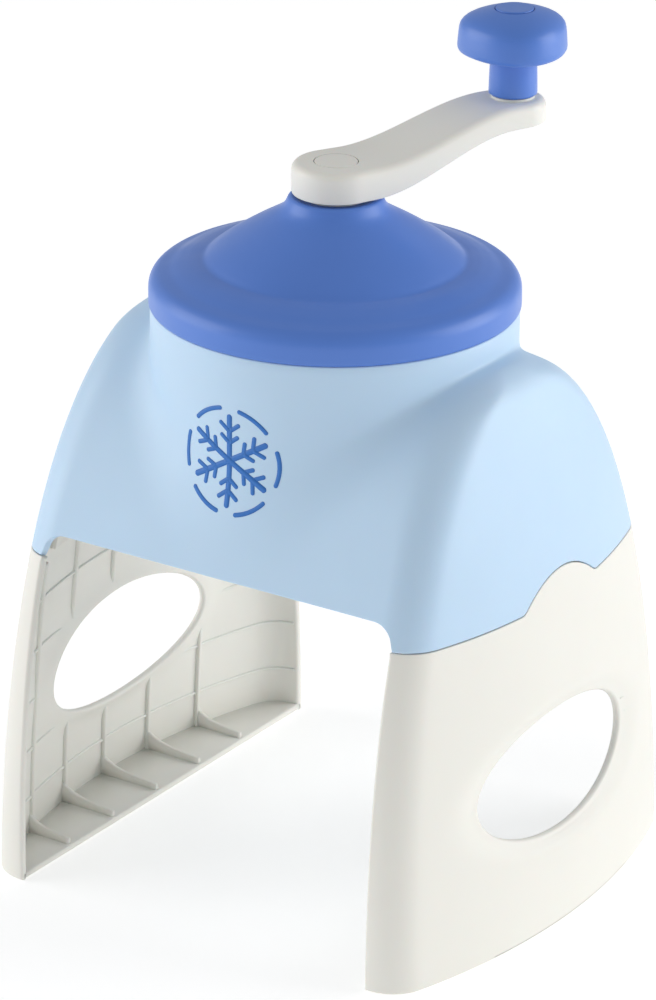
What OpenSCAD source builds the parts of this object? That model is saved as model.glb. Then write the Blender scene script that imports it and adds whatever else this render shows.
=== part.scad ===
// Hand-cranked shaved ice machine: a pale blue housing on two open white legs,
// with an ice chamber, a lid that carries the crank and its spiked presser,
// and an adjustable blade under the chamber floor.
// Millimetres, +Z up, origin in the middle of the footprint. The front faces -Y.

/* [Body] */
// Half of the width over the legs at the base
base_half_w = 97.5; // [90:0.5:105]
// Half of the depth of the legs at the base
base_half_d = 85.3; // [78:0.1:92]
// Height at which the shoulders run into the neck
shoulder_z = 191; // [187:1:195]
// Height of the neck's top edge, under the lid
neck_z = 199.5; // [197:0.5:203]
// Outer radius of the neck
neck_r = 61.5; // [60:0.5:63]
// Wall of the housing
housing_wall = 2.4; // [2:0.1:3]
// Wall of the legs
leg_wall = 2.8; // [2.6:0.1:3.2]

/* [Arch and hand holes] */
// Half of the width of the bay between the legs
bay_half_w = 69.7; // [66:0.1:74]
// Height of the arch over the bay
arch_z = 124; // [120:1:127]
// Height of the joint between the housing and the legs
seam_z = 114; // [111:1:117]
// Height of the middle of a hand hole
hole_z = 54; // [48:1:60]
// Half of the length of a hand hole
hole_half_l = 45.5; // [38:0.5:47]
// Half of the height of a hand hole
hole_half_h = 21; // [18:0.5:23]

/* [Ice chamber] */
// Inner radius of the ice chamber
chamber_r = 46; // [44:1:47]
// Top of the chamber floor
floor_z = 131; // [129:1:132]
// Radius of the presser plate
presser_r = 40; // [38:1:41]
// Number of spikes in the outer ring of the presser
spike_count = 8; // [6:1:10]

/* [Lid and crank] */
// Outer radius of the lid
lid_r = 62; // [62:0.5:63]
// Height of the crank hub's underside
hub_z = 238; // [237.5:0.5:239]
// Distance between the crank's axis and the knob's axis
arm_l = 68.5; // [60:0.5:72]
// How far the knob end stands above the hub end
arm_rise = 11.5; // [6:0.5:14]
// Direction of the arm at rest, counted from +X
arm_angle = 64.3; // [40:0.1:90]
// Advance of the feed screw in one turn
screw_lead = 10; // [8:1:12]

/* [Hidden] */

$fn = 96;
gap = 0.2;
pale_blue = [0.73, 0.84, 0.93];
lid_blue = [0.30, 0.44, 0.72];
ivory = [0.92, 0.92, 0.89];
steel = [0.75, 0.76, 0.78];

side_arc_r = 239;
corner_r = 15;
neck_blend = 10;
shoulder_round = 9;
arch_round = 8;
rib_pitch = 26;
rib_shift = -5;
gusset_turn = 14;
rib_t = 1.6;
hump_y = 4.5;
hump_half_l = 23;
hump_h = 9.4;
lap = 7;
lap_half_l = 52;
lap_drop = 3.4;
tongue_t = 2;
spigot_r = 59;
spigot_top = 206;
ledge_z = 190;
screw_bottom = 181.5;
screw_top = 224.7;
thread_r = 5.2;
thread_ecc = 1.2;
journal_r = 6;
pin_r = 3;
arm_end_r = 11.2;
hub_r = 14.8;
hub_t = 10.6;
arm_end_t = 8.2;
knob_z = hub_z + hub_t + arm_rise;
knob_at = [arm_l * cos(arm_angle), arm_l * sin(arm_angle)];
plate_z = 180;
plate_t = 3;
tube_top = 224.5;
tube_r = 11.5;
blade_tilt = 30;
adjuster_x = 22;
slot_x = 4;
slot_l = 36;
slot_y = -2.4;
slot_w = 12.6;
blade_top = 126.5;
boss_x = 73.2;
boss_y = 47;

// ---- Body surface -------------------------------------------------------

function smooth_max(a, b, k) = max(a, b) + pow(max(k - abs(a - b), 0), 2) / (4 * k);
function smooth_step(t) = let (u = min(max(t, 0), 1)) u * u * (3 - 2 * u);

// Half depth of the saddle at a height: a bell seen from the side
function bell(z) = base_half_d * pow(max(1 - pow(max(z, 0) / shoulder_z, 2.2), 0), 1 / 2.4);
// Half width of the saddle at a height, rounded over at the shoulder
function flank(z) = base_half_w * pow(1 - pow(max(z, 0) / 250, 1.47), 1 / 3.88)
    - shoulder_round * (1 - sqrt(1 - pow(min(max(z - shoulder_z, -shoulder_round)
        / shoulder_round + 1, 1), 2)));
// Plan radius of the saddle: flat front, rounded corner, arched outer wall
function saddle_r(angle, z) =
    let (a = abs(angle) > 180 ? 360 - abs(angle) : abs(angle), t = min(a, 180 - a),
         h = bell(z), rc = min(corner_r, 0.7 * h), c = flank(z) - side_arc_r,
         cy = h - rc, cx = c + sqrt(pow(side_arc_r - rc, 2) - cy * cy),
         beta = atan2(cy, cx - c), ux = cos(t), uy = sin(t))
    h <= 0.01 ? 0
    : t > atan2(h, cx) ? h / uy
    : t < atan2(cy + rc * sin(beta), cx + rc * cos(beta))
        ? c * ux + sqrt(pow(side_arc_r, 2) - pow(c * uy, 2))
    : cx * ux + cy * uy + sqrt(max(rc * rc - pow(cx * uy - cy * ux, 2), 0));
// Plan radius of the whole body: neck and saddle, blended
function body_r(a, z) = smooth_max(neck_r, saddle_r(a, z), neck_blend);
// Height of the joint line on the legs: nearly level, with one rounded hump
function seam(y) = seam_z + 0.0004 * y * y
    + smooth_max(0, hump_h * (1 - pow((y - hump_y) / hump_half_l, 2)), 1.2);

// Plan angles, closer together at the shoulders
function plan_angle(i, n) = let (t = 360 * i / n) t - 15 * sin(2 * t);
function body_ring(z, inset, n) =
    [for (i = [0:n - 1]) let (a = plan_angle(i, n), r = body_r(a, z + inset) - inset)
        [r * cos(a), r * sin(a), z]];

// Solid through a stack of rings that all have the same number of points
module loft(rings) {
    n = len(rings[0]);
    m = len(rings);
    points = [for (ring = rings) each ring];
    walls = [for (j = [0:m - 2]) for (i = [0:n - 1]) let (k = (i + 1) % n)
        each [[j * n + i, (j + 1) * n + i, (j + 1) * n + k],
              [j * n + i, (j + 1) * n + k, j * n + k]]];
    base = [for (i = [0:n - 1]) i];
    top = [for (i = [n - 1:-1:0]) (m - 1) * n + i];
    polyhedron(points = points, faces = concat([base], walls, [top]), convexity = 10);
}

// One closed skin from all its children
module skin() {
    resize([0, 0, 0]) union() children();
}

module ring(r_in, r_out, z, h, sides = 96) {
    translate([0, 0, z]) difference() {
        cylinder(r = r_out, h = h, $fn = sides);
        translate([0, 0, -1]) cylinder(r = r_in, h = h + 2, $fn = sides);
    }
}

// Copies at the four leg screw places
module at_leg_bosses() {
    for (sx = [-1, 1]) for (sy = [-1, 1]) translate([sx * boss_x, sy * boss_y, 0]) children();
}

module at_hopper_screws() {
    for (a = [30, 150, 270]) rotate(a) translate([52, 0, 0]) children();
}

// Everything under the joint line, on both sides, raised by lift
module below_seam(x_from, lift) {
    places = concat([-100, -80, -60, -45, -32], [for (i = [-10:10]) hump_y + 2.45 * i],
        [36, 45, 60, 80, 100]);
    steps = [for (y = places) [y, seam(y) + lift]];
    for (sx = [-1, 1]) scale([sx, 1, 1])
        translate([x_from, 0, 0]) rotate([90, 0, 90])
            linear_extrude(60) polygon(concat([[-100, -20]], steps, [[100, -20]]));
}

module arch_cut() {
    r = arch_round;
    rotate([90, 0, 0]) linear_extrude(240, center = true) hull() {
        translate([-bay_half_w, -20]) square([2 * bay_half_w, 10]);
        for (sx = [-1, 1]) translate([sx * (bay_half_w - r), arch_z - r]) circle(r, $fn = 32);
    }
}

// ---- Fixed parts --------------------------------------------------------

module body_solid(inset, n) {
    top = shoulder_z - inset;
    levels = concat([106, 114, 122, 130, 139, 148, 157],
        [for (drop = [26, 20, 15, 11, 7.5, 4.5, 2.4, 1, 0.3, -0.6]) top - drop], [neck_z]);
    loft([for (z = levels) body_ring(z, inset, n)]);
}

module housing() color(pale_blue) skin() difference() {
    union() {
        difference() {
            body_solid(0, 72);
            body_solid(housing_wall, 56);
            translate([0, 0, neck_z - 1]) cylinder(r = neck_r - housing_wall, h = 5);
            translate([0, 0, 100]) cylinder(r = 20, h = 7);
        }
        ring(spigot_r - 2.2, neck_r - 0.4, neck_z - 4, 4, 64);
        ring(spigot_r - 2.2, spigot_r, neck_z - 4, spigot_top - neck_z + 4, 64);
        ring(chamber_r + 2.6, neck_r - 1, ledge_z, 3, 64);
        intersection() {
            body_solid(1, 56);
            at_leg_bosses() union() {
                translate([0, 0, 121.2]) cylinder(r = 3.6, h = 18, $fn = 16);
                translate([-0.8, -15, 128]) cube([1.6, 30, 11]);
                translate([-15, -0.8, 124.5]) cube([30, 1.6, 14]);
            }
        }
    }
    arch_cut();
    below_seam(bay_half_w - 0.1, 0);
    at_leg_bosses() translate([0, 0, 120]) cylinder(r = 1.8, h = 14, $fn = 16);
    at_hopper_screws() translate([0, 0, 185]) cylinder(r = 1.6, h = 10, $fn = 16);
    for (a = [90, 210, 330]) rotate(a)
        translate([spigot_r - 4, -4.4, neck_z + 1.5]) cube([8, 8.8, 8]);
}

// Horizontal oval through both legs
module hand_holes() {
    rotate([90, 0, 90]) linear_extrude(240, center = true) translate([0, hole_z])
        scale([hole_half_l, hole_half_h]) circle(1, $fn = 44);
}

// Solid of one leg's outline between two heights, taken from drop higher up the body
module leg_solid(inset, inner_x, z_from, z_to, drop = 0) {
    steps = max(round((z_to - z_from) / 15), 1);
    n = 22;
    loft([for (j = [0:steps])
        let (z = z_from + (z_to - z_from) * j / steps, h = bell(z + drop), reach = atan2(h, inner_x))
        [for (i = [0:n])
            let (t = 2 * i / n - 1, a = reach * t, r = saddle_r(a, z + drop) - inset)
            i == 0 || i == n ? [inner_x, t * (h - inset), z]
                : [max(r * cos(a), inner_x + 0.1), r * sin(a), z]]]);
}

// Place of a lengthwise rib
function rib_y(i) = rib_shift + i * rib_pitch;

module leg_ribs() {
    intersection() {
        leg_solid(1, bay_half_w, 1, 116);
        union() {
            difference() {
                union() {
                    for (i = [-2:2]) translate([bay_half_w, rib_y(i) - rib_t / 2, 1])
                        cube([40, rib_t, 106]);
                    for (z = [14, 31, 48, 65, 82, 99]) translate([bay_half_w, -90, z])
                        cube([40, 180, 1.2]);
                }
                leg_solid(leg_wall + 1.6, 40, -1, 118);
            }
            for (i = [-2:2]) translate([base_half_w - 5, rib_y(i) + rib_t / 2, 0])
                rotate([90, 0, -gusset_turn]) linear_extrude(rib_t)
                    polygon([[-26, 1], [9, 1], [9, 15], [-2.5, 13], [-6, 8.6], [-12, 5.6], [-26, 2.6]]);
        }
    }
}

module leg() skin() difference() {
    union() {
        difference() {
            leg_solid(0, bay_half_w, 0, 126);
            leg_solid(leg_wall, bay_half_w - 20, -1, 127);
            translate([0, 0, seam_z]) difference() {
                translate([-200, -200, -100]) cube([400, 400, 200]);
                translate([0, 0, -seam_z]) below_seam(bay_half_w - 0.1, -0.25);
            }
        }
        intersection() {
            difference() {
                leg_solid(housing_wall + gap, bay_half_w + 1, 104, 130, lap_drop);
                leg_solid(housing_wall + gap + tongue_t, bay_half_w - 20, 103, 131, lap_drop);
            }
            below_seam(bay_half_w + 1, lap);
            translate([0, -lap_half_l, 100]) cube([150, 2 * lap_half_l, 40]);
        }
        intersection() {
            leg_solid(0, bay_half_w, 0, 10);
            translate([0, -100, 0]) cube([150, 200, 2.4]);
        }
        leg_ribs();
        intersection() {
            leg_solid(housing_wall + gap + 0.5, bay_half_w, 100, 130, lap_drop);
            for (sy = [-1, 1]) translate([boss_x - 5, sy * boss_y - 5, 118])
                cube([30, 10, 3]);
        }
    }
    hand_holes();
    for (sy = [-1, 1]) translate([boss_x, sy * boss_y, 100])
        cylinder(r = 1.8, h = 30, $fn = 16);
}

module leg_right() color(ivory) leg();

module leg_left() color(ivory) mirror([1, 0, 0]) leg();

// Pan-head screw with its head's seat at z = 0 and its shank up
module screw(r, l, head_r, head_h) {
    cylinder(r = r, h = l);
    translate([0, 0, -head_h]) difference() {
        cylinder(r = head_r, h = head_h);
        for (a = [0, 90]) rotate(a) translate([-head_r * 0.6, -0.4, -0.01])
            cube([head_r * 1.2, 0.8, head_h * 0.5]);
    }
}

module leg_screws() color(steel) at_leg_bosses() translate([0, 0, 118])
    screw(1.5, 14, 3, 2);

module hopper() color(ivory) difference() {
    union() {
        translate([0, 0, floor_z - 3]) cylinder(r = chamber_r + 2, h = 68);
        translate([0, 0, 193]) cylinder(r = 56.4, h = 2.4);
    }
    translate([0, 0, floor_z]) cylinder(r = chamber_r, h = 80);
    translate([slot_x, slot_y, floor_z - 4]) cube([slot_l, slot_w, 5]);
    at_hopper_screws() translate([0, 0, 190]) cylinder(r = 1.6, h = 8);
    at_bridge_screws() translate([0, 0, floor_z - 4]) cylinder(r = 1.6, h = 3.7);
}

module hopper_screws() color(steel) at_hopper_screws() translate([0, 0, 195.4])
    mirror([0, 0, 1]) screw(1.4, 9, 2.8, 1.8);

// ---- Blade and its adjuster ---------------------------------------------

module at_bridge_screws() {
    for (x = [adjuster_x - 26.6, adjuster_x + 21.8]) for (y = [-9, 3]) translate([x, y, 0]) children();
}

// Bridge under the chamber floor, with a guide hole for the adjuster. It is open
// on the side where the shaved ice falls.
module blade_bridge() color(ivory) translate([adjuster_x, 0, 0]) difference() {
    union() {
        translate([-24, -13, 106]) cube([43, 19.5, 3]);
        for (x = [-24, 17.4]) translate([x, -13, 106]) cube([1.6, 19.5, 22]);
        translate([-29.4, -13, 125.5]) cube([6, 19.5, 2.5]);
        translate([18.4, -13, 125.5]) cube([6, 19.5, 2.5]);
    }
    translate([0, 0, 100]) cylinder(r = pin_r + 0.05, h = 12);
    translate([-adjuster_x, 0, 120]) at_bridge_screws() cylinder(r = 1.6, h = 10);
}

module bridge_screws() color(steel) at_bridge_screws() translate([0, 0, 125.5])
    screw(1.4, 5, 2.2, 1.6);

// Carrier that lifts the blade: a wedge with a slanted top
module blade_carrier() color(lid_blue) difference() {
    translate([adjuster_x - 20, 0, 0]) rotate([90, 0, 90]) linear_extrude(36)
        polygon([[-12, 111], [5, 111], [5, 117], [1.5, blade_top], [-0.5, blade_top],
                 [-12, blade_top - 11.5 * tan(blade_tilt)]]);
    translate([adjuster_x, 0, 110]) cylinder(r = pin_r + 0.05, h = 11);
    at_blade_screws() translate([0, 0, -6]) cylinder(r = 1.2, h = 8);
}

module at_blade_screws() {
    for (x = [-14, 10]) translate([adjuster_x + x, -8.5, blade_top - 8 * tan(blade_tilt)])
        rotate([blade_tilt, 0, 0]) children();
}

// Cutting edge stands in the slot, level with the floor at rest
module blade() color(steel) difference() {
    translate([adjuster_x - 17, -0.5, blade_top]) rotate([blade_tilt, 0, 0]) rotate([90, 0, 90])
        linear_extrude(34) polygon([[-12, 0.05], [7.6, 0.05], [9, 0.85], [-12, 0.85]]);
    at_blade_screws() translate([0, 0, -2]) cylinder(r = 1.4, h = 5);
}

module blade_screws() color(steel) at_blade_screws() translate([0, 0, 0.95])
    mirror([0, 0, 1]) screw(1.1, 5.5, 2.2, 1.3);

module adjuster_knob() color(lid_blue) translate([adjuster_x, 0, 0]) union() {
    translate([0, 0, 97]) linear_extrude(8.6)
        polygon([for (a = [0:5:355]) let (r = 10 + 0.8 * cos(9 * a)) [r * cos(a), r * sin(a)]]);
    translate([0, 0, 105]) cylinder(r = pin_r, h = 14);
}

module adjuster_ring() color(steel) translate([adjuster_x, 0, 0])
    ring(pin_r, 5, 109.3, 0.9);

// ---- Lid ----------------------------------------------------------------

// Top of the lid: rounded rim, sloping annulus, steeper dome and collar
lid_top = [[62, 206], [61.6, 208], [60.2, 209.8], [57, 211.6], [50, 214], [44.5, 215.9],
    [42, 217], [36, 220.7], [30, 224.4], [24, 228], [20, 230.4], [17.4, 232.4], [16, 234.6],
    [15.6, 237]];

module lid() color(lid_blue) union() {
    rotate_extrude() polygon(concat([[lid_r, neck_z + 0.3]], lid_top,
        [[10.6, 237], [10.6, 236.2], [9.05, 236.2], [9.05, 229.4], [19, 228.2]],
        [for (i = [9:-1:4]) lid_top[i] - [1, 2.4]],
        [[57.6, 208.6], [lid_r - 2.4, 206.4], [lid_r - 2.4, neck_z + 0.3]]));
    for (a = [90, 210, 330]) rotate(a) translate([spigot_r - 2.6, -4, neck_z + 2.4])
        cube([4.2, 8, 7.2]);
}

module shaft_bush() color(ivory) union() {
    ring(journal_r + 0.05, 9, 226.8, 9.6);
    ring(journal_r + 0.05, 10.4, 236.2, 0.9);
}

// ---- Crank --------------------------------------------------------------

// Half width of the arm at a distance along it: two circles and their tangents
function arm_half_w(s) =
    let (k = (hub_r - arm_end_r) / arm_l, c = sqrt(1 - k * k),
         s1 = hub_r * k, s2 = arm_l + arm_end_r * k)
    s < s1 ? sqrt(max(pow(hub_r, 2) - s * s, 0))
    : s > s2 ? sqrt(max(pow(arm_end_r, 2) - pow(s - arm_l, 2), 0))
    : (hub_r - k * s) / c;

// Section of the arm across its length, with rounded upper edges
function arm_ring(s) =
    let (t = smooth_step((s - 8) / (arm_l - 14)), w = max(arm_half_w(s), 0.4),
         z0 = hub_z + t * (arm_rise + hub_t - arm_end_t), z1 = hub_z + hub_t + t * arm_rise,
         r = min(2.6, w * 0.8))
    [for (p = [[0.6 - w, z0], [w - 0.6, z0], [w, z0 + 0.6], [w, z1 - r],
               [w - r * 0.3, z1 - r * 0.3], [w - r, z1], [-w + r, z1],
               [-w + r * 0.3, z1 - r * 0.3], [-w, z1 - r], [-w, z0 + 0.6]]) [s, p[0], p[1]]];

module crank_arm() color(ivory) skin() difference() {
    stations = concat([for (a = [4:16:84]) -hub_r * cos(a)], [for (s = [3:6:63]) s],
        [for (a = [84:-16:4]) arm_l + arm_end_r * cos(a)]);
    rotate(arm_angle) loft([for (s = stations) arm_ring(s)]);
    translate([0, 0, hub_z - 1]) cylinder(r = journal_r + gap, h = 5, $fn = 32);
    translate([0, 0, hub_z]) cylinder(r = 2.3, h = 9, $fn = 24);
    translate([0, 0, hub_z + 6]) cylinder(r = 7.4, h = 10, $fn = 40);
    translate([knob_at[0], knob_at[1], knob_z - 20]) cylinder(r = pin_r + gap, h = 30, $fn = 24);
    translate([knob_at[0], knob_at[1], knob_z - 20]) cylinder(r = 5, h = 13.6, $fn = 32);
}

module crank_cap() color(ivory) translate([0, 0, hub_z + hub_t - 1.8])
    cylinder(r = 7.2, h = 1.9);

module crank_screw() color(steel) translate([0, 0, hub_z + 6])
    mirror([0, 0, 1]) screw(2, 14, 4, 2.4);

// Eccentric round thread: one start, right-handed. A circle whose centre travels
// round the axis once for each lead.
module thread(r, z_from, z_to) {
    steps = ceil((z_to - z_from) / screw_lead * 16);
    loft([for (j = [0:steps])
        let (z = z_from + (z_to - z_from) * j / steps,
             turn = 360 * (z - screw_bottom) / screw_lead)
        [for (i = [0:15]) let (a = 22.5 * i)
            [thread_ecc * cos(turn) + r * cos(a), thread_ecc * sin(turn) + r * sin(a), z]]]);
}

module feed_screw() color(ivory) union() {
    thread(thread_r, screw_bottom, screw_top);
    difference() {
        translate([0, 0, screw_top - 0.02]) cylinder(r = journal_r, h = hub_z + 3.6 - screw_top);
        translate([0, 0, hub_z - 9]) cylinder(r = 2, h = 20);
    }
}

module knob_pin() color(steel) translate([knob_at[0], knob_at[1], 0]) union() {
    translate([0, 0, knob_z - 7.6]) cylinder(r = pin_r, h = 33);
    translate([0, 0, knob_z - 9]) cylinder(r = 4.6, h = 2.4);
    translate([0, 0, knob_z + 25.2]) cylinder(r = 4.6, h = 1.6);
}

module knob_washer() color(ivory) translate([knob_at[0], knob_at[1], 0])
    ring(pin_r, 7.4, knob_z, 0.8);

// Three-lobed plan of the knob's head
function knob_ring(r, z) = [for (a = [0:10:350])
    let (q = r * (1 + 0.045 * cos(3 * (a + 45)))) [q * cos(a), q * sin(a), z]];

module knob() color(lid_blue) translate([knob_at[0], knob_at[1], knob_z]) difference() {
    union() {
        translate([0, 0, 1.1]) cylinder(r1 = 8.2, r2 = 7.9, h = 15);
        loft([knob_ring(17.2, 15), knob_ring(18.4, 15.9), knob_ring(18.2, 20),
              knob_ring(17.9, 24), knob_ring(16.8, 26), knob_ring(14, 28), knob_ring(10, 29.8),
              knob_ring(7.4, 30.4)]);
    }
    translate([0, 0, -1]) cylinder(r = pin_r + 0.05, h = 40);
    translate([0, 0, 24.9]) cylinder(r = 6.4, h = 10);
}

module knob_cap() color(lid_blue) translate([knob_at[0], knob_at[1], knob_z + 28.6])
    cylinder(r = 6.3, h = 2.2);

// ---- Presser ------------------------------------------------------------

module thrust_washer() color(steel) ring(journal_r + 0.3, 10.4, 225.2, 1.4);

module presser() color(lid_blue) union() {
    difference() {
        translate([0, 0, plate_z]) cylinder(r = presser_r, h = plate_t);
        translate([0, 0, plate_z - 1]) cylinder(r = 9, h = 6);
        for (i = [0:spike_count - 1]) rotate(360 * i / spike_count) translate([34, 0, 170])
            cylinder(r = 1.2, h = 20);
        for (i = [0:3]) rotate(90 * i) translate([18, 0, 170]) cylinder(r = 1.2, h = 20);
    }
    for (i = [0:spike_count - 1]) rotate(360 * (i + 0.5) / spike_count)
        translate([tube_r - 1, -1, plate_z + plate_t - 0.5]) cube([24, 2, 5]);
    difference() {
        translate([0, 0, plate_z]) cylinder(r = tube_r, h = tube_top - plate_z);
        thread(thread_r + 0.4, plate_z - 1, tube_top + 1);
    }
}

module presser_spikes() color(steel) {
    for (i = [0:spike_count - 1]) rotate(360 * i / spike_count) translate([34, 0, 0]) spike();
    for (i = [0:3]) rotate(90 * i) translate([18, 0, 0]) spike();
}

module spike() {
    translate([0, 0, plate_z - 2]) cylinder(r = 1.2, h = 5);
    translate([0, 0, plate_z - 6]) cylinder(r1 = 0.2, r2 = 1.2, h = 4);
}

housing();
hopper();
leg_left();
leg_right();
leg_screws();
hopper_screws();
blade_bridge();
bridge_screws();
lid();
shaft_bush();
crank_arm();
crank_cap();
crank_screw();
feed_screw();
knob_pin();
knob_washer();
knob();
knob_cap();
thrust_washer();
presser();
presser_spikes();
blade_carrier();
blade();
blade_screws();
adjuster_knob();
adjuster_ring();
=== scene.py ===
"""Looks for the hand-cranked shaved ice machine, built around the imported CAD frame.

Shapes are worked out in millimetres, in the frame's own axes, from the same formulas as the
CAD body, and become metres when a mesh is made.
"""
import math

import bpy
import numpy as np
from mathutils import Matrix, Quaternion, Vector


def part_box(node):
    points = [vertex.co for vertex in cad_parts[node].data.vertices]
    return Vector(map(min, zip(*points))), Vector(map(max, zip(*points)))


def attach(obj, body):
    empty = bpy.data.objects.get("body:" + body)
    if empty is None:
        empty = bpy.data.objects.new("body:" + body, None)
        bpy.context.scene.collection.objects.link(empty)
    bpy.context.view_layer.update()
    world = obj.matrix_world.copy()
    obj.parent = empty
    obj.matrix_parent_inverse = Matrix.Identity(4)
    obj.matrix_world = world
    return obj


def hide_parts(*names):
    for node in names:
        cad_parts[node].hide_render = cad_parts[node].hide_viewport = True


MM = 0.001
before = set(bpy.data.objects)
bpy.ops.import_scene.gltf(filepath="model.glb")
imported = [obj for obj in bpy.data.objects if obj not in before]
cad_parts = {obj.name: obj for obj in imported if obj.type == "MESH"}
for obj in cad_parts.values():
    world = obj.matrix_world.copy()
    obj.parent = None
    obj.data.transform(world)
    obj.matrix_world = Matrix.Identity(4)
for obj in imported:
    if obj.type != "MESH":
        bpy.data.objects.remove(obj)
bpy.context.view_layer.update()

# ---- Driving sizes, taken from the frame ---------------------------------


def node_box(node):
    """Lowest and highest corners of a CAD node, in millimetres."""
    low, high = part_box(node)
    return np.array(low) / MM, np.array(high) / MM


LEG_LOW, LEG_HIGH = node_box("leg_right")
HOUSING_LOW, HOUSING_HIGH = node_box("housing")
LID_LOW, LID_HIGH = node_box("lid")
ARM_LOW, ARM_HIGH = node_box("crank_arm")
KNOB_LOW, KNOB_HIGH = node_box("knob")
PIN_LOW, PIN_HIGH = node_box("knob_pin")
CAP_LOW, CAP_HIGH = node_box("crank_cap")
KNOB_CAP_LOW, KNOB_CAP_HIGH = node_box("knob_cap")
PRESSER_LOW, PRESSER_HIGH = node_box("presser")
SCREW_LOW, SCREW_HIGH = node_box("feed_screw")
WASHER_LOW, WASHER_HIGH = node_box("thrust_washer")

BASE_HALF_W = LEG_HIGH[0]
BASE_HALF_D = LEG_HIGH[1]
BAY_HALF_W = LEG_LOW[0]
LID_R = LID_HIGH[0]
LID_RIM_Z = LID_LOW[2]
NECK_Z = LID_RIM_Z - 0.3
NECK_R = 61.5
SHOULDER_Z = 191.0
SHOULDER_ROUND = 9.0
SIDE_ARC_R = 239.0
CORNER_R = 15.0
NECK_BLEND = 10.0
HOUSING_WALL = 2.4
LEG_WALL = 2.8
SPIGOT_R = 59.0
SPIGOT_TOP = HOUSING_HIGH[2]
LEDGE_Z = 190.0
LEDGE_R = 48.6
ARCH_Z = 124.0
ARCH_ROUND = 8.0
SEAM_Z = 114.0
SEAM_GAP = 0.35
TONGUE_RISE = 6.0
HOLE_Z = 54.0
HOLE_HALF_L = 45.5
HOLE_HALF_H = 21.0
RIB_PITCH = 26.0
RIB_SHIFT = -5.0
RIB_LEVELS = (16.0, 35.0, 54.0, 73.0, 92.0)
HUMP_Y = 4.5
HUMP_HALF_L = 23.0
HUMP_H = 9.4
BOSS_X = 73.2
BOSS_Y = 47.0
LAP_HALF_L = 52.0
HUB_Z = ARM_LOW[2]
HUB_T = CAP_HIGH[2] - 0.1 - HUB_Z
KNOB_AXIS = (PIN_LOW + PIN_HIGH) / 2
ARM_L = math.hypot(KNOB_AXIS[0], KNOB_AXIS[1])
ARM_ANGLE = math.atan2(KNOB_AXIS[1], KNOB_AXIS[0])
ARM_RISE = ARM_HIGH[2] - HUB_Z - HUB_T
HUB_R = 14.8
ARM_END_R = 11.2
ARM_END_T = 8.2
SCREW_LEAD = 10.0
PRESSER_R = PRESSER_HIGH[0]
TUBE_R = 11.5
PIN_BORE = 3.05
PRINT_Z = 163.0
PRINT_R = 18.0
HOUSING_COLUMNS = 480
HOUSING_ROWS = 96
LEG_EDGE_POINTS = 200
LEG_ROWS = 46
DISH_DEPTH = 2.6
DISH_WIDTH = 0.19
CAMERA_AZIMUTH = 33.5
CAMERA_ELEVATION = 21.8
CAMERA_DISTANCE = 1.679
CAMERA_ROLL = 0.4

# ---- Body formulas ---------------------------------------------------------


def smooth_step(t):
    """0 to 1 with level ends."""
    t = np.clip(t, 0, 1)
    return t * t * (3 - 2 * t)


def smooth_max(a, b, k):
    """Larger of two values, blended over k."""
    return np.maximum(a, b) + np.maximum(k - np.abs(a - b), 0) ** 2 / (4 * k)


def bell(z):
    """Half depth of the saddle at a height."""
    return BASE_HALF_D * np.maximum(1 - (np.maximum(z, 0) / SHOULDER_Z) ** 2.2, 0) ** (1 / 2.4)


def flank(z):
    """Half width of the saddle at a height, rounded over at the shoulder."""
    top = np.clip((z - SHOULDER_Z) / SHOULDER_ROUND + 1, 0, 1)
    straight = BASE_HALF_W * (1 - (np.maximum(z, 0) / 250) ** 1.47) ** (1 / 3.88)
    return straight - SHOULDER_ROUND * (1 - np.sqrt(1 - top**2))


def saddle_r(a, z):
    """Plan radius of the saddle: flat front, rounded corner, arched outer wall."""
    ux, uy = np.abs(np.cos(a)), np.abs(np.sin(a))
    t = np.arctan2(uy, ux)
    h = bell(z)
    rc = np.minimum(CORNER_R, 0.7 * h)
    c = flank(z) - SIDE_ARC_R
    cy = h - rc
    cx = c + np.sqrt((SIDE_ARC_R - rc) ** 2 - cy**2)
    beta = np.arctan2(cy, cx - c)
    flat = h / np.maximum(uy, 1e-6)
    side = c * ux + np.sqrt(SIDE_ARC_R**2 - (c * uy) ** 2)
    corner = cx * ux + cy * uy + np.sqrt(np.maximum(rc**2 - (cx * uy - cy * ux) ** 2, 0))
    in_side = t < np.arctan2(cy + rc * np.sin(beta), cx + rc * np.cos(beta))
    radius = np.where(t > np.arctan2(h, cx), flat, np.where(in_side, side, corner))
    return np.where(h > 0.01, radius, 0)


def body_r(a, z):
    """Plan radius of the whole body: neck and saddle, blended."""
    return smooth_max(NECK_R, saddle_r(a, z), NECK_BLEND)


def seam(y):
    """Height of the joint line on the legs: nearly level, with one rounded hump."""
    hump = HUMP_H * (1 - ((y - HUMP_Y) / HUMP_HALF_L) ** 2)
    return SEAM_Z + 0.0004 * y * y + smooth_max(0, hump, 1.2)


def lower_edge(x, y):
    """Lower edge of the housing: the joint line on the legs, the arch between them."""
    side = BAY_HALF_W - ARCH_ROUND
    rise = np.sqrt(np.maximum(ARCH_ROUND**2 - np.maximum(np.abs(x) - side, 0) ** 2, 0))
    arch = ARCH_Z - ARCH_ROUND + rise
    return np.where(np.abs(x) >= BAY_HALF_W, seam(y), np.maximum(arch, seam(y)))


# ---- Mesh tools ------------------------------------------------------------


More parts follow.
